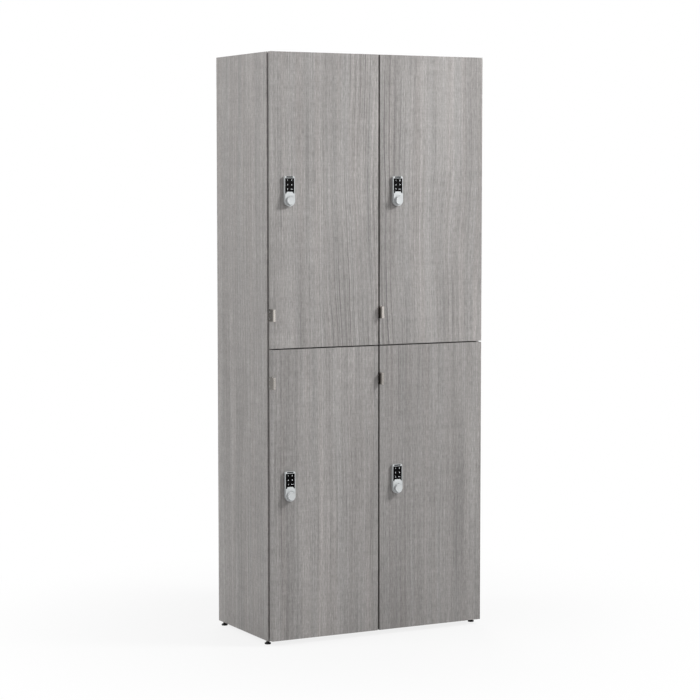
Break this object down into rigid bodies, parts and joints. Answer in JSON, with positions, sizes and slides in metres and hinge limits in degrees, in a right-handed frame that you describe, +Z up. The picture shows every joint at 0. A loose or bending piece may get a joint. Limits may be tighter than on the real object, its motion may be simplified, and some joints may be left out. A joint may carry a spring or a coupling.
{
  "type": "locker cabinet",
  "caption": "Tall grey wood-grain laminate locker cabinet with overlay doors, edge pulls, keypad locks and levelling feet.",
  "frame": {"origin": "bottom centre of the bounding box, on the floor under the levelling feet", "axes": "+X to the right seen from the front, -Y out of the doors' faces, +Z up"},
  "size_m": [0.762, 0.414, 1.842],
  "materials": {
    "laminate": "grey wood-grain laminate, satin",
    "back_laminate": "plain grey laminate, satin",
    "zinc": "zinc plated",
    "beech": "plain beech",
    "nickel_steel": "nickel plated, satin",
    "clear_bumper": "soft translucent",
    "black_plastic": "moulded, matt",
    "satin_nickel": "satin nickel",
    "satin_silver": "satin silver",
    "black_gloss": "gloss"
  },
  "bodies": {
    "cabinet": {"side_panel_left": "laminate", "side_panel_right": "laminate", "top_panel": "laminate", "bottom_panel": "laminate", "centre_partition": "laminate", "fixed_shelf_left": "laminate", "fixed_shelf_right": "laminate", "back_panel": "back_laminate", "cam_fittings": "zinc", "wood_dowels": "beech", "hinge_arms": "nickel_steel", "hinge_mounting_plates": "nickel_steel", "latch_strikes": "zinc", "door_bumpers": "clear_bumper", "foot_inserts": "black_plastic", "chipboard_screws": "zinc"},
    "foot_front_left": {"foot_front_left": "black_plastic"},
    "foot_front_right": {"foot_front_right": "black_plastic"},
    "foot_rear_left": {"foot_rear_left": "black_plastic"},
    "foot_rear_right": {"foot_rear_right": "black_plastic"},
    "door_lower_left": {"door_lower_left": "laminate", "door_pull_lower_left": "satin_nickel", "door_screws_lower_left": "zinc", "hinge_cups_lower_left": "nickel_steel", "hinge_pins_lower_left": "nickel_steel", "lock_housing_lower_left": "satin_silver", "lock_keypad_lower_left": "black_gloss", "lock_rear_unit_lower_left": "black_plastic"},
    "knob_lower_left": {"lock_knob_lower_left": "satin_silver", "lock_cam_lower_left": "zinc"},
    "door_lower_right": {"door_lower_right": "laminate", "door_pull_lower_right": "satin_nickel", "door_screws_lower_right": "zinc", "hinge_cups_lower_right": "nickel_steel", "hinge_pins_lower_right": "nickel_steel", "lock_housing_lower_right": "satin_silver", "lock_keypad_lower_right": "black_gloss", "lock_rear_unit_lower_right": "black_plastic"},
    "knob_lower_right": {"lock_knob_lower_right": "satin_silver", "lock_cam_lower_right": "zinc"},
    "door_upper_left": {"door_upper_left": "laminate", "door_pull_upper_left": "satin_nickel", "door_screws_upper_left": "zinc", "hinge_cups_upper_left": "nickel_steel", "hinge_pins_upper_left": "nickel_steel", "lock_housing_upper_left": "satin_silver", "lock_keypad_upper_left": "black_gloss", "lock_rear_unit_upper_left": "black_plastic"},
    "knob_upper_left": {"lock_knob_upper_left": "satin_silver", "lock_cam_upper_left": "zinc"},
    "door_upper_right": {"door_upper_right": "laminate", "door_pull_upper_right": "satin_nickel", "door_screws_upper_right": "zinc", "hinge_cups_upper_right": "nickel_steel", "hinge_pins_upper_right": "nickel_steel", "lock_housing_upper_right": "satin_silver", "lock_keypad_upper_right": "black_gloss", "lock_rear_unit_upper_right": "black_plastic"},
    "knob_upper_right": {"lock_knob_upper_right": "satin_silver", "lock_cam_upper_right": "zinc"}
  },
  "joints": [
    {"name": "foot_front_left_height", "type": "slide", "parent": "cabinet", "child": "foot_front_left", "axis": [0, 0, -1], "range_m": [-0.005, 0.012]},
    {"name": "foot_front_right_height", "type": "slide", "parent": "cabinet", "child": "foot_front_right", "axis": [0, 0, -1], "range_m": [-0.005, 0.012]},
    {"name": "foot_rear_left_height", "type": "slide", "parent": "cabinet", "child": "foot_rear_left", "axis": [0, 0, -1], "range_m": [-0.005, 0.012]},
    {"name": "foot_rear_right_height", "type": "slide", "parent": "cabinet", "child": "foot_rear_right", "axis": [0, 0, -1], "range_m": [-0.005, 0.012]},
    {"name": "door_lower_left_swing", "type": "hinge", "parent": "cabinet", "child": "door_lower_left", "pos_m": [-0.01, -0.1805, 0.4715], "axis": [0, 0, 1], "range_deg": [0, 95]},
    {"name": "knob_lower_left_turn", "type": "hinge", "parent": "door_lower_left", "child": "knob_lower_left", "pos_m": [-0.318, -0.187, 0.4715], "axis": [0, 1, 0], "range_deg": [0, 90]},
    {"name": "door_lower_right_swing", "type": "hinge", "parent": "cabinet", "child": "door_lower_right", "pos_m": [0.371, -0.1805, 0.4715], "axis": [0, 0, 1], "range_deg": [0, 95]},
    {"name": "knob_lower_right_turn", "type": "hinge", "parent": "door_lower_right", "child": "knob_lower_right", "pos_m": [0.063, -0.187, 0.4715], "axis": [0, 1, 0], "range_deg": [0, 90]},
    {"name": "door_upper_left_swing", "type": "hinge", "parent": "cabinet", "child": "door_upper_left", "pos_m": [-0.01, -0.1805, 1.3865], "axis": [0, 0, 1], "range_deg": [0, 95]},
    {"name": "knob_upper_left_turn", "type": "hinge", "parent": "door_upper_left", "child": "knob_upper_left", "pos_m": [-0.318, -0.187, 1.3865], "axis": [0, 1, 0], "range_deg": [0, 90]},
    {"name": "door_upper_right_swing", "type": "hinge", "parent": "cabinet", "child": "door_upper_right", "pos_m": [0.371, -0.1805, 1.3865], "axis": [0, 0, 1], "range_deg": [0, 95]},
    {"name": "knob_upper_right_turn", "type": "hinge", "parent": "door_upper_right", "child": "knob_upper_right", "pos_m": [0.063, -0.187, 1.3865], "axis": [0, 1, 0], "range_deg": [0, 90]}
  ]
}
